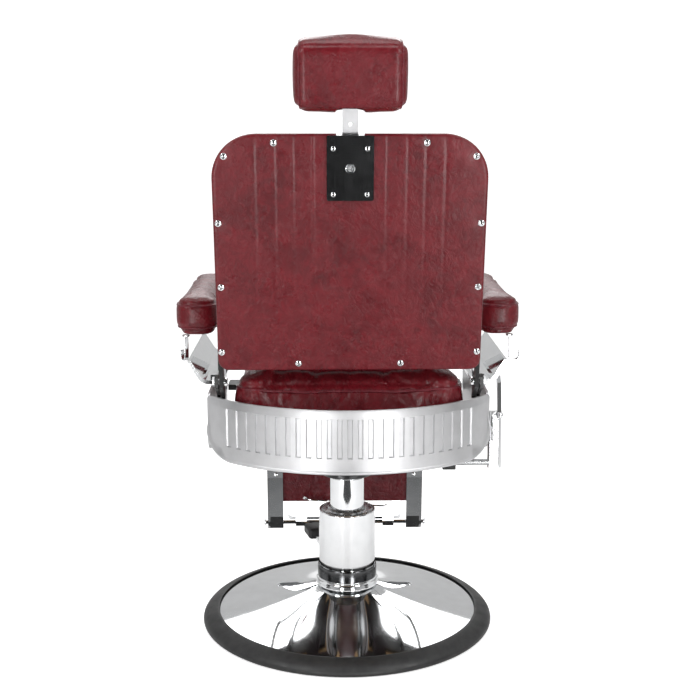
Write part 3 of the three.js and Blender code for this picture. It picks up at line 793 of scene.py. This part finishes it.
def recess_shade_cross(name, at, into, body):
    """Painted shade of the cross recess in a screw head: a thin dark four-armed inlay set on the head where the
    recess lies in shade.
    """
    arm, wide, high = 2.9, 0.65, 0.35
    outline = [(wide, wide), (wide, arm), (-wide, arm), (-wide, wide), (-arm, wide), (-arm, -wide),
               (-wide, -wide), (-wide, -arm), (wide, -arm), (wide, -wide), (arm, -wide), (arm, wide)]
    turned = [(x * 0.8 - z * 0.6, x * 0.6 + z * 0.8) for x, z in outline]
    n = len(turned)
    verts = [(x * MM, y * MM, z * MM) for y in (0, high) for x, z in turned]
    faces = [tuple(range(n)), tuple(range(2 * n - 1, n - 1, -1))]
    faces += [(i, (i + 1) % n, n + (i + 1) % n, n + i) for i in range(n)]
    return piece(name, verts, faces, body, "black_paint", into=into @ Matrix.Translation(Vector(at) * MM))


# ---------------------------------------------------------------- base and pump
def make_column():
    """The round pieces again, with smooth skins: base dish, rim, collar, sleeve, gland, ram and hub."""
    dish_low, dish_high = (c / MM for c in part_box("base_dish"))
    ram_low, ram_high = (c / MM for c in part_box("ram"))
    sleeve_low, sleeve_high = (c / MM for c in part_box("pump_sleeve"))
    hub_low, hub_high = (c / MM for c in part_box("swivel_hub"))
    edge, sleeve, ram = dish_high.x, sleeve_high.x, ram_high.x

    def skin(r):
        t = (edge - r) / (edge - sleeve)
        return 27 + 53 * (0.72 * t + 0.28 * t ** 4)

    radii = [edge - (edge - sleeve - 2) * k / 40 for k in range(41)]
    top = [(r, skin(r)) for r in radii]
    under = [(r, z - 3) for r, z in reversed(top)]
    lathe("base_dish_skin", top + under, "base", "chrome", ("base_dish",), radius=0.4)
    rim = [(290, 0), (318, 0), (325, 4), (325, 12), (318, 20.5), (305, 27.5), (293, 31.5), (288.5, 31),
           (292, 28), (292, 20), (290, 18)]
    rim_corners = [0.5, 2, 5, 5, 7, 7, 3, 1, 0.5, 0.5, 0.5]
    lathe("rim_ring_skin", rim, "base", "rubber", ("rim_ring",), radius=rim_corners)
    collar = [(63.3, 83), (70.4, 83), (70.4, 86), (69.4, 88), (70.2, 91), (68.5, 94.5), (66.4, 96),
              (66.4, 100), (63.3, 100)]
    lathe("base_collar_ring", collar, "base", "chrome", ("base_collar",), radius=0.8)
    band = [(63.3, 100.3), (66.2, 100.3), (66.2, 124), (65.4, 125.4), (63.3, 125.4)]
    lathe("base_collar_band", band, "base", "stainless", radius=0.6)
    tube_wall = [(59.2, sleeve_low.z), (sleeve, sleeve_low.z), (sleeve, sleeve_high.z - 2),
                 (sleeve - 1.5, sleeve_high.z), (59.2, sleeve_high.z)]
    lathe("pump_sleeve_skin", tube_wall, "base", "chrome", ("pump_sleeve",), radius=0.8)
    gland = [(38.3, 243), (58.6, 243), (58.6, 252.6), (54, 256), (44, 256.5), (41, 259.5), (38.3, 260)]
    lathe("pump_gland_skin", gland, "base", "steel", ("pump_gland",), radius=0.8)
    rod = [(6, ram_low.z), (ram - 2, ram_low.z), (ram, ram_low.z + 2), (ram, ram_high.z), (6, ram_high.z)]
    lathe("ram_skin", rod, "ram", "chrome", ("ram",), radius=0.8)
    hub = [(38.5, hub_low.z), (56, hub_low.z), (62, hub_low.z + 12), (62, hub_low.z + 24), (50, hub_low.z + 44),
           (50, hub_high.z),
           (8, hub_high.z), (8, ram_high.z + 1), (38.5, ram_high.z + 1)]
    lathe("swivel_hub_skin", hub, "seat", "black_paint", ("swivel_hub",),
          radius=[0.5, 4, 3, 6, 8, 2, 0.5, 0.5, 0.5])
    ring = [(38.4, hub_low.z - 5), (44, hub_low.z - 5), (46, hub_low.z - 3),
            (46, hub_low.z - 0.4), (38.4, hub_low.z - 0.4)]
    lathe("hub_trim_ring", ring, "seat", "chrome", radius=0.8)


def rounded_block(name, lo, hi, radius, body, slot, replaces=(), ribs=None, into=FLAT, cells=14):
    """A moulded block with round edges all over. ribs(x, y, z, normal) may raise or sink its skin, in mm."""
    lo, hi = Vector(lo), Vector(hi)
    mesh = bmesh.new()
    bmesh.ops.create_cube(mesh, size=2.0)
    bmesh.ops.subdivide_edges(mesh, edges=mesh.edges, cuts=cells, use_grid_fill=True)
    centre, half = (lo + hi) / 2, (hi - lo) / 2
    core = Vector(max(0.01, h - radius) for h in half)
    for v in mesh.verts:
        p = Vector(c * h for c, h in zip(v.co, half))
        k = Vector(max(-c, min(c, x)) for x, c in zip(p, core))
        out = p - k
        n = out.normalized() if out.length > 1e-9 else Vector((0, 0, 1))
        p = k + n * radius
        if ribs:
            p += n * ribs(p.x, p.y, p.z, n)
        v.co = p + centre
    verts = [tuple(v.co * MM) for v in mesh.verts]
    mesh.verts.index_update()
    faces = [tuple(v.index for v in f.verts) for f in mesh.faces]
    mesh.free()
    return piece(name, verts, faces, body, slot, replaces, into=into, angle=60)


def make_pedal():
    """The rubber pedal, ribbed on top, on its lever."""
    pin = Vector(joint("pump_stroke")["pos_m"])
    turn = math.atan2(pin.x, -pin.y)
    lever = Matrix.Rotation(turn, 4, "Z")
    low, high = (c / MM for c in local_box("pump_pedal", lever.inverted()))

    def ribs(x, y, z, n):
        return -0.9 * max(0, n.z) ** 4 * (0.5 - 0.5 * math.cos(y * 2 * math.pi / 7.5))

    rounded_block("pump_pedal_skin", low, high, 9, "pump_lever", "rubber", ("pump_pedal",), ribs, lever,
                  cells=40)


# ---------------------------------------------------------------- cast aprons
def casting(name, x0, x1, foot, top, corner, grooves, groove_foot, groove_top, width, body, replaces, place,
            thick=8.0, upper=8.0):
    """A cast panel with rounded corners, a bevelled rim and a field of upright grooves.

    place(x, depth, z) turns a point of the flat panel, depth behind its face, into the row frame, all in mm."""
    rim, band, slope, lip, groove_depth, wall = 5.0, 16.0, 3.2, 1.2, 3.4, 1.5

    def low_z(x):
        d = min(x - x0, x1 - x)
        return foot + (corner - math.sqrt(max(0.0, corner ** 2 - (corner - d) ** 2)) if d < corner else 0.0)

    def top_z(x):
        d = min(x - x0, x1 - x)
        return top - (upper - math.sqrt(max(0.0, upper ** 2 - (upper - d) ** 2)) if d < upper else 0.0)

    def face_depth(x, z):
        """The rim stands proud; under the top edge a wide chamfer leans back to meet it."""
        r = corner if z < (foot + top) / 2 else upper
        d = max(0.0, loop_distance(x, z, x0, x1, foot, top, r))
        step = min(1.0, max(0.0, (d - rim) / 1.6))
        depth = max(0.0, 1.4 - d) ** 2 * 0.5 + lip * step * step * (3 - 2 * step)
        below = min(top - z, x - x0, x1 - x) if z > (foot + top) / 2 else band
        return depth * min(1.0, below / band) + slope * max(0.0, 1.0 - below / band)

    half = width / 2
    columns = [x0, x0 + 0.4, x0 + 1.5, x0 + 3, x0 + rim, x0 + rim + 0.8, x0 + rim + 1.6, x0 + 10,
               x0 + band, x0 + 22]
    columns += [x0 + x1 - c for c in columns]
    for g in grooves:
        columns += [g - half, g - half + 0.5, g - half + wall, g, g + half - wall, g + half - 0.5, g + half]
    gaps = sorted(set(round(c, 4) for c in columns))
    columns = [gaps[0]]
    for c in gaps[1:]:
        if c - columns[-1] > 9:
            columns.append((c + columns[-1]) / 2)
        columns.append(c)

    low_rows = [0.0, 0.4, 1.5, 3.0, rim, rim + 0.8, rim + 1.6]
    high_rows = [0.0, 0.4, 1.5, 4.0, 10.0, band - 0.4, band, band + 0.6]
    span = len(low_rows)

    def row_heights(x):
        a, b = low_z(x), top_z(x)
        lows = [a + r for r in low_rows]
        highs = [b - r for r in reversed(high_rows)]
        gf, gt = max(groove_foot, lows[-1] + 0.5), min(groove_top, highs[0] - 0.5)
        middle = [gf, gf + 0.5, gf + wall, gf + (gt - gf) * 0.3, gf + (gt - gf) * 0.6, gt - wall, gt - 0.5, gt]
        return lows + middle + highs

    verts, nz = [], 0
    for x in columns:
        heights = row_heights(x)
        nz = len(heights)
        for k, z in enumerate(heights):
            depth = face_depth(x, z)
            inside = [min(x - (g - half), g + half - x, z - heights[span], heights[span + 7] - z)
                      for g in grooves]
            into_groove = max(inside)
            if into_groove > 1e-6:
                depth += groove_depth * min(1.0, into_groove / wall) ** 0.7
            verts.append(place(x, depth, z))
    for x in columns:
        verts += [place(x, thick, z) for z in row_heights(x)]
    n = len(columns)
    under = n * nz
    quads = [(i * nz + k, (i + 1) * nz + k, (i + 1) * nz + k + 1, i * nz + k + 1)
             for i in range(n - 1) for k in range(nz - 1)]
    faces = quads + [tuple(reversed([v + under for v in q])) for q in quads]
    border = [i * nz for i in range(n)] + [(n - 1) * nz + k for k in range(1, nz)]
    border += [i * nz + nz - 1 for i in range(n - 2, -1, -1)] + [k for k in range(nz - 2, 0, -1)]
    faces += [(a, b, b + under, a + under) for a, b in zip(border, border[1:] + border[:1])]
    return piece(name, [Vector(v) * MM for v in verts], faces, body, "cast_aluminium", replaces, angle=28)


def make_aprons():
    low, high = (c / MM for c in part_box("apron_rear"))
    radius, centre = 361.5, high.y - 361.5
    pitch, count = 20.2, 25
    grooves = [(k - (count - 1) / 2) * pitch for k in range(count)]

    def on_arc(x, depth, z):
        r = radius - depth
        t = math.asin(x / radius)
        return (r * math.sin(t), centre + r * math.cos(t), z)

    casting("apron_rear_casting", low.x, high.x, low.z, high.z, 52, grooves, 466, 545, 10.6, "seat",
            ("apron_rear",), on_arc)

    for side, name in ((1, "left"), (-1, "right")):
        low, high = (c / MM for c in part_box("apron_side_" + name))
        face = high.x if side > 0 else low.x
        grooves = [low.y + 48 + k * pitch for k in range(18)]
        casting("apron_side_casting_" + name, low.y, high.y, low.z, high.z, 46, grooves, 466, 545, 10.6, "seat",
                ("apron_side_" + name,), lambda y, depth, z: (face - side * depth, y, z), upper=3.0)


# ---------------------------------------------------------------- hooks, lever and small metal pieces
def ribbon(name, path, across, width, thick, body, slot, replaces=(), into=FLAT):
    """A flat strip bent along a path: width runs along across, thick is its sheet. All in mm."""
    pts = [Vector(p) for p in path]
    across = Vector(across).normalized()
    profile = rounded_loop(-width / 2, width / 2, -thick / 2, thick / 2, thick * 0.35, 2.0)
    verts, n = [], len(profile)
    for i, p in enumerate(pts):
        along = (pts[min(i + 1, len(pts) - 1)] - pts[max(i - 1, 0)]).normalized()
        normal = along.cross(across).normalized()
        verts += [(p + across * a + normal * b) * MM for a, b in profile]
    faces = [(i * n + k, i * n + (k + 1) % n, (i + 1) * n + (k + 1) % n, (i + 1) * n + k)
             for i in range(len(pts) - 1) for k in range(n)]
    faces += [tuple(range(n - 1, -1, -1)), tuple(range((len(pts) - 1) * n, len(pts) * n))]
    return piece(name, verts, faces, body, slot, replaces, into=into)


def make_hooks():
    for side, name, body in ((1, "left", "left_hook"), (-1, "right", "right_hook")):
        node = "strop_hook_" + name
        centre = Vector(joint(body + "_turn")["pos_m"]) / MM
        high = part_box(node)[1] / MM
        turn = math.radians(-62) if side > 0 else math.pi
        into = Matrix.Translation(Vector((centre.x, centre.y, 0)) * MM) @ Matrix.Rotation(turn, 4, "Z")
        bend, foot = 12 - 1.3, high.z - 45
        path = [(0, 0, high.z - 3), (0, 0, high.z - 24), (0, 0, foot)]
        turns = [math.pi * k / 14 for k in range(1, 15)]
        path += [(bend - bend * math.cos(a), 0, foot - bend * math.sin(a)) for a in turns]
        path += [(2 * bend, 0, foot + 5), (2 * bend + 0.4, 0, foot + 9.5)]
        strip = ribbon(node + "_strip", path, (0, 1, 0), 10, 2.6, body, "chrome", (node,), into)
        bevel(strip, 0.2, 1)
        head = [(1.5, high.z - 4), (8, high.z - 4), (8, high.z - 0.4), (1.5, high.z - 0.4)]
        ring = rounded_profile(head, 0.8)
        lathe_at(node + "_head", ring, (centre.x, centre.y, 0), "Z", body, "chrome", segments=40)


def lathe_at(name, ring, centre, axis, body, slot, segments=48, replaces=()):
    """A turned piece on its own axis through centre: ring is (radius, height) in mm, off the axis."""
    n = len(ring)
    turn = {"Z": FLAT, "X": Matrix.Rotation(math.pi / 2, 4, "Y"),
            "Y": Matrix.Rotation(-math.pi / 2, 4, "X")}[axis]
    into = Matrix.Translation(Vector(centre) * MM) @ turn
    verts = [(r * MM * math.cos(a), r * MM * math.sin(a), z * MM)
             for a in (2 * math.pi * k / segments for k in range(segments)) for r, z in ring]
    faces = [(k * n + i, k * n + (i + 1) % n, (k + 1) % segments * n + (i + 1) % n, (k + 1) % segments * n + i)
             for k in range(segments) for i in range(n)]
    return piece(name, verts, faces, body, slot, replaces, into=into)


def dome(radius, height, foot=0.0, steps=7):
    """A domed cap nut's outline as an off-axis ring."""
    turns = [math.pi / 2 * k / steps for k in range(steps)]
    cap = [(radius * math.cos(a), foot + height * 0.4 + height * 0.6 * math.sin(a)) for a in turns]
    return [(0.2, foot), (radius, foot)] + cap + [(0.2, foot + height)]


def ball_ring(radius):
    """A ball's outline as an off-axis ring."""
    turns = [math.pi * k / 16 for k in range(1, 16)]
    arc = [(radius * math.sin(a) + 0.15, -radius * math.cos(a)) for a in turns]
    return [(0.2, -radius)] + arc + [(0.2, radius)]


def make_small_parts():
    pivot = Vector(joint("back_recline")["pos_m"]) / MM
    foot = Vector(joint("footrest_fold")["pos_m"]) / MM
    iron_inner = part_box("back_iron_left")[0].x / MM + 8
    rod_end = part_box("foot_hinge_rod")[1].x / MM
    for side, name in ((1, "left"), (-1, "right")):
        ring = rounded_profile([(6.3, 0), (9.5, 0), (9.5, 6.5), (6.3, 6.5)], 0.6)
        inner = side * (iron_inner - 0.7) - (6.5 if side > 0 else 0)
        lathe_at("pivot_spacer_" + name, ring, (inner, pivot.y, pivot.z), "X", "seat", "chrome")
        cap = [(r, side * z) for r, z in dome(8.5, 6)]
        lathe_at("foot_rod_cap_" + name, cap, (side * (rod_end + 0.2), foot.y, foot.z), "X", "legrest",
                 "chrome")
    lever = Vector(joint("recline_release")["pos_m"]) / MM
    lathe_at("lever_ball", ball_ring(7.5), (-323, lever.y + 3, lever.z + 104), "Z", "recline_lever", "chrome")

    for side, name in ((1, "left"), (-1, "right")):
        for row, (y, z) in enumerate(((-305.5, 262), (-311.5, 240))):
            at = Matrix.Translation(Vector((side * 172, y, z)) * MM) @ Matrix.Rotation(math.radians(11), 4, "X")
            screw(f"bracket_screw_{name}_{row + 1}", "legrest", "chrome", (0, 0, 0), at, 5.0)

    # The release rod of the footrest: two bent ends, each with a ball, on the legrest's rear.
    for name, x, z in (("left", 92, 172), ("right", -48, 158)):
        end = x - 46 if x > 0 else x - 50
        path = [(x + 8, -316, z + 6), (x, -314, z + 3), (x - 12, -312, z), (end, -316, z - 3),
                (end - 8, -331, z - 4)]
        tube("release_rod_" + name, [Vector(p) * MM for p in path], 2.2 * MM, "legrest", "chrome")
        lathe_at("release_ball_" + name, ball_ring(5), (x + 8, -316, z + 6), "Z", "legrest", "chrome",
                 segments=24)


# ---------------------------------------------------------------- stage
def studio_light():
    """Surroundings that are pale on the far, -Y side and dim towards the camera, on the +Y side."""
    world = bpy.data.worlds.new("studio")
    bpy.context.scene.world = world
    world.use_nodes = True
    tree = world.node_tree
    background = tree.nodes["Background"]
    where = tree.nodes.new("ShaderNodeTexCoord").outputs["Generated"]
    split = tree.nodes.new("ShaderNodeSeparateXYZ")
    tree.links.new(where, split.inputs[0])
    ramp = tree.nodes.new("ShaderNodeValToRGB")
    mapped = tree.nodes.new("ShaderNodeMapRange")
    mapped.inputs["From Min"].default_value = -1.0
    tree.links.new(split.outputs["Y"], mapped.inputs["Value"])
    tree.links.new(mapped.outputs["Result"], ramp.inputs["Fac"])
    stops = ((0.0, 0.85), (0.5, 0.82), (0.66, 0.45), (1.0, 0.12))
    while len(ramp.color_ramp.elements) < len(stops):
        ramp.color_ramp.elements.new(0.5)
    for element, (at, value) in zip(ramp.color_ramp.elements, stops):
        element.position = at
        element.color = (value, value, value, 1)
    tree.links.new(ramp.outputs["Color"], background.inputs["Color"])
    background.inputs["Strength"].default_value = 1.0


def make_stage():
    """A seamless pale sweep, soft boxes, dark flags for the plating to reflect, and the camera."""
    sweep = []
    for k in range(25):
        a = math.pi / 2 * k / 24
        sweep.append((-3.2 - 1.6 * math.sin(a), 1.6 - 1.6 * math.cos(a)))
    line = [(7.0, 0.0)] + sweep + [(-4.8, 7.0)]
    verts = [(x, y, z) for x in (-9, 9) for y, z in line]
    n = len(line)
    mesh = bpy.data.meshes.new("floor_sweep")
    mesh.from_pydata(verts, [], [(i, i + 1, n + i + 1, n + i) for i in range(n - 1)])
    floor = bpy.data.objects.new("floor_sweep", mesh)
    bpy.context.scene.collection.objects.link(floor)
    for p in mesh.polygons:
        p.use_smooth = True
    m = Nodes("pale_floor")
    tone = m.ramp(m.noise(2.5, 4), (0.3, (0.9, 0.9, 0.9)), (0.7, (0.93, 0.93, 0.93)))
    rough = m.ramp(m.noise(6), (0.3, 0.6), (0.7, 0.7))
    grain = m.bump(m.noise(300), 0.02, 0.2 * MM)
    mesh.materials.append(m.finish(tone, rough, grain, Emission_Color=(1, 1, 1, 1)))
    rays = m.add("ShaderNodeLightPath").outputs
    seen = m.math(rays["Is Camera Ray"], 0.6, "MULTIPLY")
    mirrored = m.math(rays["Is Glossy Ray"], 0.02, "MULTIPLY")
    m.put(m.shader, "Emission Strength", m.math(seen, mirrored))

    studio_light()

    def soft_box(name, place, aim, size, power):
        light = bpy.data.lights.new(name, "AREA")
        light.shape = "RECTANGLE"
        light.size, light.size_y = size
        light.energy = power
        obj = bpy.data.objects.new(name, light)
        obj.location = place
        obj.rotation_euler = (Vector(aim) - Vector(place)).to_track_quat("-Z", "Y").to_euler()
        bpy.context.scene.collection.objects.link(obj)

    soft_box("key_left", (1.9, 2.0, 2.3), (0, 0, 0.8), (0.8, 1.2), 34)
    soft_box("key_right", (-1.9, 2.0, 2.3), (0, 0, 0.8), (0.8, 1.2), 34)
    soft_box("low_left", (0.86, 2.45, 0.3), (0.2, 0.3, 1.0), (0.4, 0.55), 12)
    soft_box("low_right", (-0.86, 2.45, 0.3), (-0.2, 0.3, 1.0), (0.4, 0.55), 14)
    soft_box("overhead", (0, 0.2, 3.2), (0, 0, 0.5), (1.6, 1.2), 18)
    soft_box("front_fill", (0, -2.6, 2.2), (0, 0, 0.6), (2.4, 1.4), 24)

    dark = dull_material("flag_cloth", (0.004, 0.004, 0.004), (0.008, 0.008, 0.008), 0.9, 1.0)
    for name, corners in (
        ("flag_left", [(2.0, 0.9, 0.0), (2.0, 0.3, 0.0), (2.0, 0.3, 1.2), (2.0, 0.9, 1.2)]),
        ("flag_right", [(-2.0, 0.9, 0.0), (-2.0, 0.3, 0.0), (-2.0, 0.3, 1.2), (-2.0, 0.9, 1.2)]),
        ("flag_camera", [(-0.6, 3.4, 0.0), (0.6, 3.4, 0.0), (0.75, 3.0, 4.4), (-0.75, 3.0, 4.4)]),
        ("flag_floor", [(-0.5, 1.0, 0.01), (0.5, 1.0, 0.01), (0.62, 4.2, 0.01), (-0.62, 4.2, 0.01)]),
    ):
        flag_mesh = bpy.data.meshes.new(name)
        flag_mesh.from_pydata(corners, [], [(0, 1, 2, 3)])
        flag_mesh.materials.append(dark)
        flag = bpy.data.objects.new(name, flag_mesh)
        flag.visible_camera = False
        flag.visible_diffuse = False
        flag.visible_shadow = False
        bpy.context.scene.collection.objects.link(flag)

    camera = bpy.data.cameras.new("camera")
    camera.lens = 62.8
    camera.sensor_width = 36
    obj = bpy.data.objects.new("camera", camera)
    obj.location = (0.047, 2.625, 1.121)
    obj.rotation_euler = (math.radians(90 - 10.9), 0, math.radians(180 - 1.17))
    bpy.context.scene.collection.objects.link(obj)
    bpy.context.scene.camera = obj
    bpy.context.scene.view_settings.view_transform = "Standard"


make_column()
make_pedal()
make_aprons()
make_back_panel()
make_fasteners()
make_hooks()
make_small_parts()
sew(make_cushions())
dress_nodes()
make_stage()
